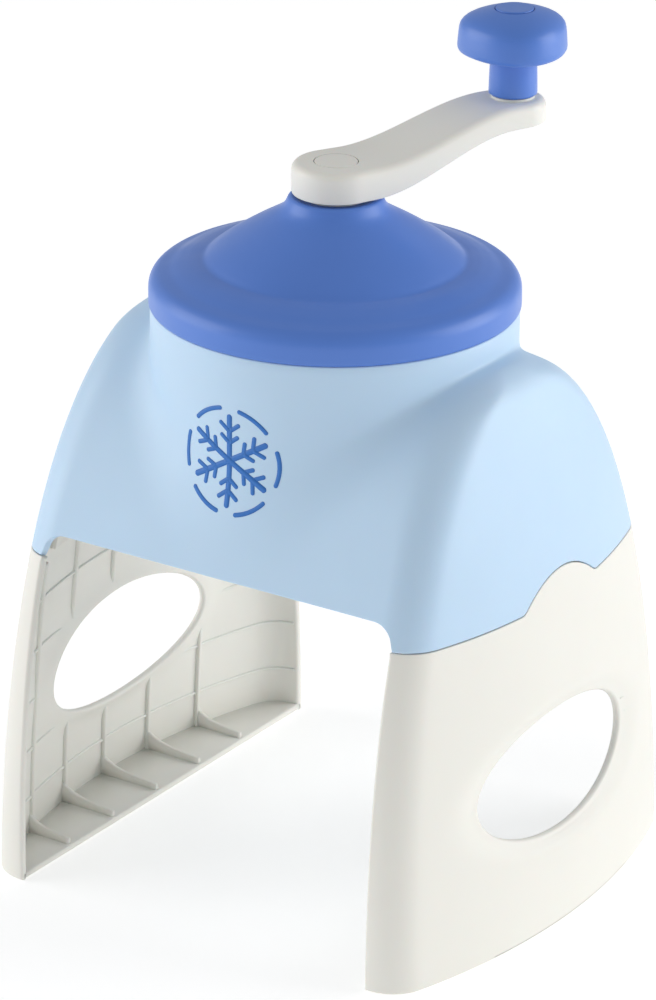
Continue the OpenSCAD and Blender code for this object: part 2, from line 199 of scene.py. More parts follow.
def add_mesh(name, verts, faces, material, body, replaces=()):
    """Makes a piece from millimetre points, ties it to a CAD body, and hides the CAD nodes it
    replaces.
    """
    mesh = bpy.data.meshes.new(name)
    mesh.from_pydata([tuple(v) for v in np.asarray(verts) * MM], [], faces)
    mesh.validate()
    mesh.update()
    mesh.polygons.foreach_set("use_smooth", [True] * len(mesh.polygons))
    piece = bpy.data.objects.new(name, mesh)
    bpy.context.scene.collection.objects.link(piece)
    mesh.materials.append(material)
    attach(piece, body)
    if replaces:
        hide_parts(*replaces)
    return piece


def grid_faces(rows, cols, wrap_rows=False):
    """Quads of a grid of points laid out row by row, wrapped along its columns."""
    faces = []
    for i in range(rows if wrap_rows else rows - 1):
        next_row = (i + 1) % rows * cols
        for j in range(cols):
            k = (j + 1) % cols
            faces.append((i * cols + j, i * cols + k, next_row + k, next_row + j))
    return faces


class Parts:
    """Gathers several closed bodies into one mesh."""

    def __init__(self):
        self.verts = []
        self.faces = []

    def add(self, verts, faces):
        start = len(self.verts)
        self.verts.extend(map(tuple, np.asarray(verts, dtype=float)))
        self.faces.extend(tuple(start + k for k in face) for face in faces)

    def grid(self, points):
        """Grid wrapped along its rows and its columns."""
        rows, cols = points.shape[:2]
        self.add(points.reshape(-1, 3), grid_faces(rows, cols, wrap_rows=True))

    def tube(self, points):
        """Grid wrapped along its columns, with its first and last rows closed."""
        rows, cols = points.shape[:2]
        faces = grid_faces(rows, cols)
        faces.append(tuple(range(cols - 1, -1, -1)))
        faces.append(tuple((rows - 1) * cols + j for j in range(cols)))
        self.add(points.reshape(-1, 3), faces)


def arc(cx, cz, r, a0, a1, n):
    """Points of an arc in degrees, as (r, z) pairs."""
    return [(cx + r * math.cos(math.radians(a)), cz + r * math.sin(math.radians(a)))
            for a in np.linspace(a0, a1, n)]


def lathe(profile, n, centre=(0, 0)):
    """Ring of points for each (r, z) pair, turned about a vertical axis."""
    a = np.linspace(0, 2 * math.pi, n, endpoint=False)
    rings = [np.stack([centre[0] + r * np.cos(a), centre[1] + r * np.sin(a),
                       np.full(n, z)], 1) for r, z in profile]
    return np.array(rings)


def normals(points):
    """Unit normals of a grid, pointing out when rows go down and columns anticlockwise."""
    d_row = np.gradient(points, axis=0)
    d_col = np.roll(points, -1, axis=1) - np.roll(points, 1, axis=1)
    return unit(np.cross(d_row, d_col))


def unit(vectors):
    """Vectors of length 1."""
    return vectors / np.maximum(np.linalg.norm(vectors, axis=-1, keepdims=True), 1e-12)


def rim(edge, inward, n, wall, r, steps=4):
    """Rows that turn round a cut edge: outer corner, face of the cut, inner corner.

    edge is the outer surface's last row, inward the unit direction back along the surface.
    """
    rows = []
    for k in range(steps + 1):
        f = math.pi / 2 * k / steps
        rows.append(edge + inward * r * (1 - math.sin(f)) - n * r * (1 - math.cos(f)))
    for k in range(steps + 1):
        f = math.pi / 2 * k / steps
        rows.append(edge + inward * r * (1 - math.cos(f)) - n * (wall - r * (1 - math.sin(f))))
    return rows


# ---- Materials ---------------------------------------------------------------


def srgb(r, g, b):
    """Linear colour from sRGB values of 0 to 255."""
    def one(v):
        v /= 255
        return v / 12.92 if v <= 0.04045 else ((v + 0.055) / 1.055) ** 2.4
    return (one(r), one(g), one(b), 1.0)


def principled(name, roughness, **sockets):
    """Material with its shader's named sockets set."""
    material = bpy.data.materials.new(name)
    material.use_nodes = True
    shader = material.node_tree.nodes["Principled BSDF"]
    shader.inputs["Roughness"].default_value = roughness
    for key, value in sockets.items():
        shader.inputs[key.replace("_", " ")].default_value = value
    return material, material.node_tree, shader


def link(tree, a, out, b, into):
    """Joins one node's output to another's input."""
    tree.links.new(a.outputs[out], b.inputs[into])


def noise(tree, scale, detail=3.0, stretch=(1, 1, 1)):
    """Noise over object coordinates, in metres."""
    coords = tree.nodes.new("ShaderNodeTexCoord")
    mapping = tree.nodes.new("ShaderNodeMapping")
    mapping.inputs["Scale"].default_value = stretch
    texture = tree.nodes.new("ShaderNodeTexNoise")
    texture.inputs["Scale"].default_value = scale
    texture.inputs["Detail"].default_value = detail
    link(tree, coords, "Object", mapping, "Vector")
    link(tree, mapping, "Vector", texture, "Vector")
    return texture


def ramp(tree, source, low, high):
    """Colour ramp over the middle of a texture's range."""
    node = tree.nodes.new("ShaderNodeValToRGB")
    node.color_ramp.elements[0].position = 0.3
    node.color_ramp.elements[1].position = 0.7
    node.color_ramp.elements[0].color = low
    node.color_ramp.elements[1].color = high
    link(tree, source, "Fac", node, "Fac")
    return node


def shade(colour, factor):
    """Colour made lighter or darker."""
    return (colour[0] * factor, colour[1] * factor, colour[2] * factor, 1.0)


def plastic(name, colour, roughness=0.42, grain=0.06, subsurface=0.0, spread=0.03):
    """Satin moulded plastic: slow flow variation, fine grain, faint handling marks."""
    material, tree, shader = principled(name, roughness, IOR=1.5, Subsurface_Weight=subsurface,
                                        Subsurface_Scale=0.002)
    flow = noise(tree, 14, 4)
    tint = ramp(tree, flow, shade(colour, 1 - spread), shade(colour, 1 + spread))
    link(tree, tint, "Color", shader, "Base Color")
    marks = noise(tree, 60, 6, (1, 1, 0.4))
    gloss = ramp(tree, marks, (roughness - 0.05,) * 3 + (1,), (roughness + 0.06,) * 3 + (1,))
    link(tree, gloss, "Color", shader, "Roughness")
    fine = noise(tree, 1600, 2)
    bump = tree.nodes.new("ShaderNodeBump")
    bump.inputs["Strength"].default_value = grain
    bump.inputs["Distance"].default_value = 0.0002
    link(tree, fine, "Fac", bump, "Height")
    link(tree, bump, "Normal", shader, "Normal")
    return material


def metal(name, colour, roughness=0.3):
    """Stainless steel with drawn streaks along its length."""
    material, tree, shader = principled(name, roughness, Metallic=1.0)
    streaks = noise(tree, 300, 4, (1, 1, 0.08))
    tint = ramp(tree, streaks, shade(colour, 0.88), shade(colour, 1.08))
    link(tree, tint, "Color", shader, "Base Color")
    gloss = ramp(tree, streaks, (roughness - 0.08,) * 3 + (1,), (roughness + 0.1,) * 3 + (1,))
    link(tree, gloss, "Color", shader, "Roughness")
    bump = tree.nodes.new("ShaderNodeBump")
    bump.inputs["Strength"].default_value = 0.1
    bump.inputs["Distance"].default_value = 0.0001
    link(tree, streaks, "Fac", bump, "Height")
    link(tree, bump, "Normal", shader, "Normal")
    return material


PALE_BLUE = plastic("pale_blue_plastic", srgb(189, 216, 240), 0.42, subsurface=0.08)
LID_BLUE = plastic("blue_plastic", srgb(82, 126, 210), 0.36, spread=0.04)
IVORY = plastic("ivory_plastic", srgb(232, 231, 224), 0.42, subsurface=0.08, spread=0.015)
STEEL = metal("stainless_steel", (0.62, 0.63, 0.65, 1))
PRINT_BLUE = plastic("print_ink", srgb(40, 110, 190), 0.5, grain=0.03, spread=0.02)

# ---- Housing -----------------------------------------------------------------


def plan_angles(n):
    """Plan angles once round, closer together at the shoulders and at the arch corners."""
    weight_at = np.linspace(0, 2 * math.pi, 4001)
    corner = math.atan2(bell(ARCH_Z - 4), BAY_HALF_W - 2)
    density = 1 + 1.2 * np.exp(-(np.sin(weight_at) / 0.25) ** 2)
    for c in (corner, math.pi - corner, math.pi + corner, 2 * math.pi - corner):
        density += 7 * np.exp(-((weight_at - c) / 0.045) ** 2)
    density += 1.2 * np.exp(-(np.sin(weight_at) / 0.4) ** 6)
    total = np.concatenate([[0], np.cumsum((density[1:] + density[:-1]) / 2)])
    return np.interp(np.arange(n) / n * total[-1], total, weight_at)


def housing_columns(angles, rows):
    """Outer surface from under the neck to the lower edge, evenly spaced along each column."""
    low = np.full(angles.shape, 100.0)
    high = np.full(angles.shape, 135.0)
    for _ in range(40):
        mid = (low + high) / 2
        r = body_r(angles, mid)
        above = mid > lower_edge(r * np.cos(angles), r * np.sin(angles))
        high = np.where(above, mid, high)
        low = np.where(above, low, mid)
    columns = []
    for a, end in zip(angles, high):
        drop = np.linspace(0, 1, 900) ** 2.2
        z = SHOULDER_Z + 1.0 - (SHOULDER_Z + 1.0 - end) * drop
        r = body_r(np.full(z.shape, a), z)
        length = np.concatenate([[0], np.cumsum(np.hypot(np.diff(r), np.diff(z)))])
        at = np.linspace(0, length[-1], rows)
        z = np.interp(at, length, z)
        r = np.interp(at, length, r)
        columns.append(np.stack([r * math.cos(a), r * math.sin(a), z], 1))
    return np.array(columns).transpose(1, 0, 2)


def make_housing():
    """Housing in one skin: outside, lower edge, inside, ledge, spigot; and its screw bosses."""
    angles = plan_angles(HOUSING_COLUMNS)
    surface = housing_columns(angles, HOUSING_ROWS)
    for _ in range(2):
        inner_rows = surface[1:-1]
        surface[1:-1] = inner_rows * 0.5 + (surface[:-2] + surface[2:]) * 0.25
    neck = lathe_at(angles, [(NECK_R - 0.5, NECK_Z), (NECK_R - 0.15, NECK_Z - 0.15),
                             (NECK_R, NECK_Z - 0.5), (NECK_R, NECK_Z - 3), (NECK_R, NECK_Z - 5.5)])
    outer = np.concatenate([neck, surface])
    n_surface = normals(surface)
    back = unit(surface[-2] - surface[-1])
    edge_n = unit(n_surface[-1] - back * (n_surface[-1] * back).sum(1, keepdims=True))
    edge = np.array(rim(surface[-1], back, edge_n, HOUSING_WALL, 0.45))
    inside = (surface - n_surface * HOUSING_WALL)[::3][::-1]
    count = len(inside)
    ceiling = LEDGE_Z - 0.1 - 0.06 * np.arange(count)[::-1]
    inside[:, :, 2] = np.minimum(inside[:, :, 2], ceiling[:, None])
    flat_r = np.hypot(inside[:, :, 0], inside[:, :, 1])
    reach = np.maximum(flat_r, NECK_R - HOUSING_WALL - 0.2) / flat_r
    inside[:, :, 0] *= reach
    inside[:, :, 1] *= reach
    s = SPIGOT_R
    top = SPIGOT_TOP
    inner_top = lathe_at(angles, [
        (s - 0.5, LEDGE_Z), (LEDGE_R + 0.3, LEDGE_Z), (LEDGE_R, LEDGE_Z + 0.3),
        (LEDGE_R, LEDGE_Z + 2.7), (LEDGE_R + 0.3, LEDGE_Z + 3), (s - 2.6, LEDGE_Z + 3),
        (s - 2.2, LEDGE_Z + 3.4), (s - 2.2, top - 0.6), (s - 1.9, top - 0.15), (s - 1.5, top),
        (s - 0.7, top), (s - 0.25, top - 0.2), (s, top - 0.6), (s, NECK_Z + 0.4),
        (s + 0.1, NECK_Z + 0.1), (s + 0.4, NECK_Z)])
    notch = notch_mask(angles)
    outside_rows = slice(len(inner_top) - 5, len(inner_top) - 1)
    scale = 1 - notch * 1.5 / s
    inner_top[outside_rows, :, :2] *= scale[None, :, None]
    rings = np.concatenate([outer[:-1], edge, inside[1:], inner_top])
    parts = Parts()
    parts.grid(rings)
    for sx in (-1, 1):
        for sy in (-1, 1):
            screw_boss(parts, sx * BOSS_X, sy * BOSS_Y)
    add_mesh("housing_shell", parts.verts, parts.faces, PALE_BLUE, "stand",
             ["housing"])


def lathe_at(angles, profile):
    """Rings like those of lathe, at given plan angles."""
    return np.array([np.stack([r * np.cos(angles), r * np.sin(angles),
                               np.full(angles.shape, z)], 1) for r, z in profile])


def notch_mask(angles):
    """1 inside the three key notches of the spigot, 0 outside, with steep sides."""
    mask = np.zeros(angles.shape)
    for deg in (90, 210, 330):
        away = np.abs((angles - math.radians(deg) + math.pi) % (2 * math.pi) - math.pi)
        mask = np.maximum(mask, np.clip((0.082 - away) / 0.012, 0, 1))
    return mask


def screw_boss(parts, x, y):
    """Hanging boss for a leg screw, with its two webs."""
    z0, z1 = 121.3, 139.0
    parts.grid(lathe([(1.6, z0 + 0.3), (1.9, z0), (3.2, z0), (3.6, z0 + 0.5), (3.6, z1),
                      (1.6, z1)], 40, (x, y)))
    inward = -math.copysign(8.0, x)
    box(parts, (min(x, x + inward), y - 0.7, 126.0), (max(x, x + inward), y + 0.7, z1))
    box(parts, (x - 0.7, y - 8.0, 128.0), (x + 0.7, y + 8.0, z1))


def box(parts, low, high, r=0.3):
    """Box with its upright edges cut back a little."""
    x0, y0, z0 = low
    x1, y1, z1 = high
    outline = [(x0 + r, y0), (x1 - r, y0), (x1, y0 + r), (x1, y1 - r),
               (x1 - r, y1), (x0 + r, y1), (x0, y1 - r), (x0, y0 + r)]
    parts.tube(np.array([[(x, y, z) for x, y in outline] for z in (z0, z1)]))


# ---- Legs ----------------------------------------------------------------------


class LegSurface:
    """Outer wall of the right leg, as a table over width (-1 to 1) and height."""

    def __init__(self):
        self.heights = np.linspace(0, 128, 257)
        self.widths = np.linspace(-1, 1, 601)
        table = []
        for z in self.heights:
            h = float(bell(z))
            reach = math.atan2(h, BAY_HALF_W)
            a = np.linspace(-reach, reach, 1600)
            r = saddle_r(a, np.full(a.shape, z))
            x, y = r * np.cos(a), r * np.sin(a)
            length = np.concatenate([[0], np.cumsum(np.hypot(np.diff(x), np.diff(y)))])
            at = (self.widths + 1) / 2 * length[-1]
            table.append(np.stack([np.interp(at, length, x), np.interp(at, length, y),
                                   np.full(at.shape, z)], 1))
        self.table = np.array(table)
        self.half_width = 104.0

    def at(self, s, z):
        """Points on the wall, by bilinear lookup."""
        u = np.clip((s + 1) / 2 * (len(self.widths) - 1), 0, len(self.widths) - 1.001)
        v = np.clip(z / self.heights[-1] * (len(self.heights) - 1), 0, len(self.heights) - 1.001)
        i, j = u.astype(int), v.astype(int)
        fu, fv = (u - i)[..., None], (v - j)[..., None]
        t = self.table
        return ((t[j, i] * (1 - fu) + t[j, i + 1] * fu) * (1 - fv)
                + (t[j + 1, i] * (1 - fu) + t[j + 1, i + 1] * fu) * fv)

    def normal(self, s, z):
        e = 0.004
        ds = self.at(np.clip(s + e, -1, 1), z) - self.at(np.clip(s - e, -1, 1), z)
        dz = self.at(s, np.clip(z + 0.4, 0, 127.9)) - self.at(s, np.clip(z - 0.4, 0, 127.9))
        return unit(np.cross(ds, dz))

    def top(self, s):
        """Height of the leg's top edge, under the joint line."""
        z = np.full(s.shape, SEAM_Z)
        for _ in range(30):
            z = seam(self.at(s, z)[..., 1]) - SEAM_GAP
        return z

    def s_of_y(self, y, z):
        """Width parameter at which the outer wall crosses a given y."""
        row = self.table[int(round(z / self.heights[-1] * (len(self.heights) - 1)))]
        return float(np.interp(y, row[:, 1], self.widths))


LEG = LegSurface()


def leg_boundary(n):
    """Closed boundary of the leg wall in the (s, z) plane: top, back, base and front sides."""
    across = np.linspace(1, -1, n)
    top = np.stack([across, LEG.top(across)], 1)
    up = np.linspace(0, 1, n // 2)[1:]
    front = np.stack([np.full(up.shape, -1.0), top[-1, 1] * (1 - up)], 1)
    base = np.stack([-across[1:], np.zeros(n - 1)], 1)
    back = np.stack([np.full(up.shape, 1.0), top[0, 1] * up], 1)
    return np.concatenate([top, front, base, back[:-1]])


def leg_skin(parts):
    """The leg's wall: one closed skin with the hand hole in it."""
    boundary = leg_boundary(LEG_EDGE_POINTS)
    w = LEG.half_width
    mid_s = LEG.s_of_y(0, HOLE_Z)
    direction = np.stack([(boundary[:, 0] - mid_s) * w, boundary[:, 1] - HOLE_Z], 1)
    angle = np.arctan2(direction[:, 1] / HOLE_HALF_H, direction[:, 0] / HOLE_HALF_L)
    hole_y = HOLE_HALF_L * np.cos(angle)
    hole_z = HOLE_Z + HOLE_HALF_H * np.sin(angle)
    hole_s = np.array([LEG.s_of_y(y, z) for y, z in zip(hole_y, hole_z)])
    t = np.linspace(0, 1, LEG_ROWS)[:, None]
    t = 0.5 * t + 0.5 * t**2 * (3 - 2 * t)
    s = hole_s * (1 - t) + boundary[:, 0] * t
    z = hole_z * (1 - t) + boundary[:, 1] * t
    outer = LEG.at(s, z)
    n = LEG.normal(s, z)
    from_hole = np.hypot(outer[..., 1] / HOLE_HALF_L, (outer[..., 2] - HOLE_Z) / HOLE_HALF_H) - 1
    dish = DISH_DEPTH * np.exp(-(from_hole / DISH_WIDTH) ** 2)
    outer = outer - n * dish[..., None]
    edge_back = unit(outer[-2] - outer[-1])
    hole_back = unit(outer[1] - outer[0])
    inner = (outer - n * LEG_WALL)[6:-3:3]
    edge_r = np.where(np.arange(len(boundary)) < LEG_EDGE_POINTS, 0.35, 1.1)[:, None]
    outer_rim = np.array(rim(outer[-1], edge_back, n[-1], LEG_WALL, edge_r))
    hole_rim = np.array(rim(outer[0], hole_back, n[0], LEG_WALL, 1.35, 6))[::-1]
    rings = np.concatenate([outer[4:-2], outer_rim, inner[::-1], hole_rim])
    rings[:, :, 2] = np.maximum(rings[:, :, 2], 0)
    parts.grid(rings)


def outside_hole(y, z, margin):
    """True where a point is clear of the hand hole by a margin."""
    return (y / (HOLE_HALF_L + margin)) ** 2 + ((z - HOLE_Z) / (HOLE_HALF_H + margin)) ** 2 > 1


def rib_strip(parts, s_line, z_line, depth, thick, across):
    """Thin rib along a line on the inside of the wall; stretches in the hole are left out."""
    s_line, z_line = np.asarray(s_line, float), np.asarray(z_line, float)
    points = LEG.at(s_line, z_line)
    keep = outside_hole(points[:, 1], points[:, 2], 3.0)
    runs, run = [], []
    for k, ok in enumerate(keep):
        if ok:
            run.append(k)
        elif run:
            runs.append(run)
            run = []
    if run:
        runs.append(run)
    for run in runs:
        if len(run) < 2:
            continue
        p = points[run]
        n = LEG.normal(s_line[run], z_line[run])
        root = p - n * (LEG_WALL - 0.6)
        tip = p - n * (LEG_WALL + np.asarray(depth)[run][:, None])
        half = np.array(across) * thick / 2
        section = np.stack([root - half * 1.5, tip - half + n * 0.3, tip - half * 0.6,
                            tip + half * 0.6, tip + half + n * 0.3, root + half * 1.5], 1)
        parts.tube(section if across[1] else section[:, ::-1])


def gusset(parts, y, thick=1.6):
    """Low web on the floor, from the bay's edge to a rib, with a hollow upper edge."""
    wall_x = LEG.at(np.array(LEG.s_of_y(y, 6)), np.array(6.0))[0] - 1.0
    start = BAY_HALF_W + 1.0
    stations = []
    for u in np.linspace(0, 1, 12):
        x = start + (wall_x - start) * u
        top = 4.6 + 2.0 * u + 5.2 * u**5
        stations.append([(x, y + side * thick / 2, z) for side, z in
                         ((-1, 1.0), (-1, top - 0.3), (-0.5, top), (0.5, top), (1, top - 0.3),
                          (1, 1.0))])
    parts.tube(np.array(stations)[:, ::-1])


def leg_floor(parts):
    """Flat foot between the wall and the bay, with rounded edges."""
    widths = np.linspace(-1, 1, 120)
    rows = []
    for z, inset in ((0.15, 1.6), (0.5, 1.3), (2.1, 1.3), (2.5, 1.7)):
        p = LEG.at(widths, np.full(widths.shape, z))
        n = LEG.normal(widths, np.full(widths.shape, z))
        p = p - n * inset
        bay_x = BAY_HALF_W + 0.3 * (inset > 1.4)
        p[:, 0] = np.maximum(p[:, 0], bay_x)
        p[:, 2] = z
        bay_side = [(bay_x, y, z) for y in np.linspace(p[-1, 1], p[0, 1], 24)[1:-1]]
        rows.append(np.concatenate([p, bay_side]))
    parts.tube(np.array(rows))


def leg_tongue(parts):
    """Lap that reaches up inside the housing, behind the joint line."""
    reach = LEG.s_of_y(LAP_HALF_L, SEAM_Z)
    s = np.linspace(-reach, reach, 160)
    top = LEG.top(s)
    points = []
    for dz, depth in ((-5.0, 2.4), (TONGUE_RISE - 0.4, 2.75), (TONGUE_RISE, 3.1),
                      (TONGUE_RISE, 4.2), (TONGUE_RISE - 0.4, 4.6), (-5.0, 4.6)):
        z = np.minimum(top + dz, 127.5)
        points.append(LEG.at(s, z) - LEG.normal(s, z) * depth)
    parts.tube(np.array(points).transpose(1, 0, 2)[:, ::-1])


def leg_lugs(parts):
    """Flat lugs that the leg screws go through."""
    for sy in (-1, 1):
        y = sy * BOSS_Y
        box(parts, (BAY_HALF_W + 0.5, y - 5, 118.0), (BOSS_X + 6.5, y + 5, 121.0), 0.8)


def make_leg(name, node, mirror):
    """One leg: wall, foot, lap, lugs, ribs and webs; the left one is the mirror image."""
    parts = Parts()
    leg_skin(parts)
    leg_floor(parts)
    leg_tongue(parts)
    leg_lugs(parts)
    for i in range(-2, 3):
        y = RIB_SHIFT + i * RIB_PITCH
        z = np.linspace(2, 106, 80)
        s = np.array([LEG.s_of_y(y, v) for v in z])
        rib_strip(parts, s, z, np.full(z.shape, 1.2), 1.5, (0, 1, 0))
        gusset(parts, y)
    for z_rib in RIB_LEVELS:
        s = np.linspace(-0.985, 0.985, 220)
        rib_strip(parts, s, np.full(s.shape, z_rib), np.full(s.shape, 0.6), 1.1, (0, 0, 1))
    verts = np.array(parts.verts)
    faces = parts.faces
    if mirror:
        verts[:, 0] *= -1
        faces = [face[::-1] for face in faces]
    add_mesh(name, verts, faces, IVORY, "stand", [node])


# ---- Lid and crank -----------------------------------------------------------


def lid_profile():
    """Outer side of the lid from its lower edge to the hub recess."""
    r = LID_R
    z0 = LID_RIM_Z
    top = LID_HIGH[2]
    side = [(r - 0.35, z0), (r - 0.08, z0 + 0.12), (r, z0 + 0.45), (r, z0 + 5.4)]
    shoulder = arc(r - 5.6, z0 + 5.6, 5.6, 4, 68, 12)
    plateau = [(r - 7.0, top - 25.4), (r - 10, top - 24.0), (r - 13.5, top - 22.8),
               (r - 16.5, top - 22.15), (r - 18.4, top - 21.95)]
    dome = [(42.9, top - 21.4), (41.8, top - 20.3), (39, top - 18.1), (36, top - 16.0),
            (32, top - 13.4), (28, top - 10.9), (24, top - 8.6), (20.6, top - 6.6),
            (18.6, top - 5.2)]
    collar = [(17.1, top - 3.6), (16.3, top - 2.0), (15.8, top - 0.7), (15.4, top - 0.15),
              (14.9, top), (13.4, top - 0.15), (12.9, top - 0.6)]
    return side + shoulder + plateau + dome + collar


def smooth_profile(points, step=0.8):
    """Points respaced along a profile and softened, with its ends kept."""
    p = np.array(points, dtype=float)
    length = np.concatenate([[0], np.cumsum(np.hypot(*np.diff(p, axis=0).T))])
    at = np.linspace(0, length[-1], int(length[-1] / step) + 2)
    q = np.stack([np.interp(at, length, p[:, 0]), np.interp(at, length, p[:, 1])], 1)
    for _ in range(2):
        q[2:-2] = q[2:-2] * 0.5 + (q[1:-3] + q[3:-1]) * 0.25
    return q


def make_lid():
    """Lid in one skin, with its three keys."""
    outer = smooth_profile(lid_profile(), 0.6)
    low = LID_RIM_Z
    top = LID_HIGH[2]
    inner = [(12.4, top - 0.8), (10.7, top - 0.8), (9.2, top - 0.8), (9.1, top - 1.2),
             (9.1, 229.6), (9.4, 229.4), (14, 229.2), (19, 228.2), (29, 222.6), (41, 214.8),
             (51, 211.0), (56.6, 208.9), (58.6, 207.6), (LID_R - 2.5, 206.0),
             (LID_R - 2.5, low + 0.4), (LID_R - 2.2, low)]
    parts = Parts()
    parts.grid(lathe(list(map(tuple, outer)) + inner, 256)[::-1])
    for deg in (90, 210, 330):
        lid_key(parts, math.radians(deg))
    add_mesh("lid_shell", parts.verts, parts.faces, LID_BLUE, "lid", ["lid"])


def lid_key(parts, a):
    """Key inside the lid's rim that drops into a notch of the neck."""
    spread = np.linspace(-0.066, 0.066, 8)
    rows = []
    root, tip = LID_R - 2.2, 57.95
    for r, z in ((root, NECK_Z + 2.4), (tip, NECK_Z + 2.6), (tip, 206.6), (root, 208.0)):
        rows.append([(r * math.cos(a + b), r * math.sin(a + b), z) for b in spread])
    parts.tube(np.array(rows).transpose(1, 0, 2))


def arm_heights(s):
    """Underside and top of the arm at a distance along it."""
    t = float(smooth_step((s - 8) / (ARM_L - 14)))
    z0 = HUB_Z + t * (ARM_RISE + HUB_T - ARM_END_T)
    return z0, HUB_Z + HUB_T + t * ARM_RISE


ARM_TURN = math.asin((HUB_R - ARM_END_R) / ARM_L)
ARM_ROUND_POINTS = 72
ARM_SIDE_POINTS = 60


def arm_ring(inset, height):
    """Outline of the arm in plan, cut back by an inset; height gives z from the two faces."""
    hub, end = HUB_R - inset, ARM_END_R - inset
    along, across = math.sin(ARM_TURN), math.cos(ARM_TURN)
    plan = []
    for a in np.linspace(math.pi / 2 - ARM_TURN, 3 * math.pi / 2 + ARM_TURN, ARM_ROUND_POINTS):
        plan.append((hub * math.cos(a), hub * math.sin(a)))
    steps = np.linspace(0, 1, ARM_SIDE_POINTS + 2)[1:-1]
    side = [(hub * along + (ARM_L + (end - hub) * along) * f, (hub + (end - hub) * f) * across)
            for f in steps]
    plan += [(x, -y) for x, y in side]
    for a in np.linspace(-math.pi / 2 + ARM_TURN, math.pi / 2 - ARM_TURN, ARM_ROUND_POINTS):
        plan.append((ARM_L + end * math.cos(a), end * math.sin(a)))
    plan += side[::-1]
    return [(x, y, height(*arm_heights(x))) for x, y in plan]


def arm_cap(start, flip):
    """Faces that close one end of the stack of outlines: two rounds and a strip between."""
    round_n, side_n = ARM_ROUND_POINTS, ARM_SIDE_POINTS
    hub = [start + j for j in range(round_n)]
    right = [start + round_n + j for j in range(side_n)]
    end = [start + round_n + side_n + j for j in range(round_n)]
    left = [start + 2 * round_n + side_n + j for j in range(side_n)]
    strip_1 = [hub[-1]] + right + [end[0]]
    strip_2 = ([end[-1]] + left + [hub[0]])[::-1]
    faces = [(strip_1[j], strip_1[j + 1], strip_2[j + 1], strip_2[j])
             for j in range(len(strip_1) - 1)]
    faces += [tuple(hub), tuple(end)]
    return [face[::-1] for face in faces] if flip else faces


def make_arm():
    """Arm as nested outlines: underside, lower edge, side, rounded upper edge and top."""
    edge = 2.8
    rows = [arm_ring(4.0, lambda z0, z1: z0), arm_ring(0.8, lambda z0, z1: z0),
            arm_ring(0.25, lambda z0, z1: z0 + 0.2), arm_ring(0.0, lambda z0, z1: z0 + 0.8),
            arm_ring(0.0, lambda z0, z1: z1 - edge - 1.0)]
    for f in np.linspace(0, math.pi / 2, 9):
        drop = edge * (1 - math.sin(f))
        rows.append(arm_ring(edge * (1 - math.cos(f)), lambda z0, z1, d=drop: z1 - d))
    rows += [arm_ring(5.0, lambda z0, z1: z1), arm_ring(7.6, lambda z0, z1: z1)]
    local = np.array(rows)
    count, cols = local.shape[:2]
    faces = grid_faces(count, cols) + arm_cap(0, True) + arm_cap((count - 1) * cols, False)
    c, s = math.cos(ARM_ANGLE), math.sin(ARM_ANGLE)
    parts = Parts()
    parts.add(local.reshape(-1, 3) @ np.array([[c, s, 0], [-s, c, 0], [0, 0, 1]]), faces)
    arm = add_mesh("crank_arm_shell", parts.verts, parts.faces, IVORY, "crank",
                   ["crank_arm"])
    knob_place = (KNOB_AXIS[0], KNOB_AXIS[1])
    end_top = HUB_Z + HUB_T + ARM_RISE
    cut(arm, [((0, 0), 6.2, HUB_Z - 2, HUB_Z + 4), ((0, 0), 2.4, HUB_Z + 3, HUB_Z + 9),
              ((0, 0), 7.5, HUB_Z + 6, HUB_Z + 14), (knob_place, 3.2, HUB_Z, end_top + 5),
              (knob_place, 5.0, HUB_Z, end_top - 6.4)])
    arm.data.set_sharp_from_angle(angle=math.radians(35))


def cut(piece, bores):
    """Takes round bores, given as centre, radius, low and high, out of a piece."""
    for centre, r, low, high in bores:
        body = Parts()
        body.tube(lathe([(r, low), (r, high)], 96, centre))
        mesh = bpy.data.meshes.new("cutter")
        mesh.from_pydata([tuple(v) for v in np.asarray(body.verts) * MM], [], body.faces)
        tool = bpy.data.objects.new("cutter", mesh)
        bpy.context.scene.collection.objects.link(tool)
        modifier = piece.modifiers.new("cut", "BOOLEAN")
        modifier.operation = "DIFFERENCE"
        modifier.object = tool
        modifier.solver = "EXACT"
        with bpy.context.temp_override(object=piece, active_object=piece):
            bpy.ops.object.modifier_apply(modifier=modifier.name)
        bpy.data.objects.remove(tool)


def plug(name, node, centre, r, low, high, material, body, dome=0.0):
    """Round plug with a fine rounded edge, and a slightly domed top."""
    parts = Parts()
    edge = 0.35
    profile = [(r * 0.3, low), (r - 0.2, low), (r, low + 0.2), (r, high - edge)]
    profile += [(r - edge + edge * math.cos(f), high - edge + edge * math.sin(f))
                for f in np.linspace(0, math.pi / 2, 5)[1:]]
    for t in (0.85, 0.7, 0.5, 0.3, 0.12):
        profile.append((r * t, high + dome * (1 - t * t)))
    parts.tube(lathe(profile, 96, centre))
    return add_mesh(name, parts.verts, parts.faces, material, body, [node])


def knob_lobe(a):
    """Swell of the knob's three lobes at a plan angle."""
    return 1 + 0.045 * np.cos(3 * (a + math.radians(45)))


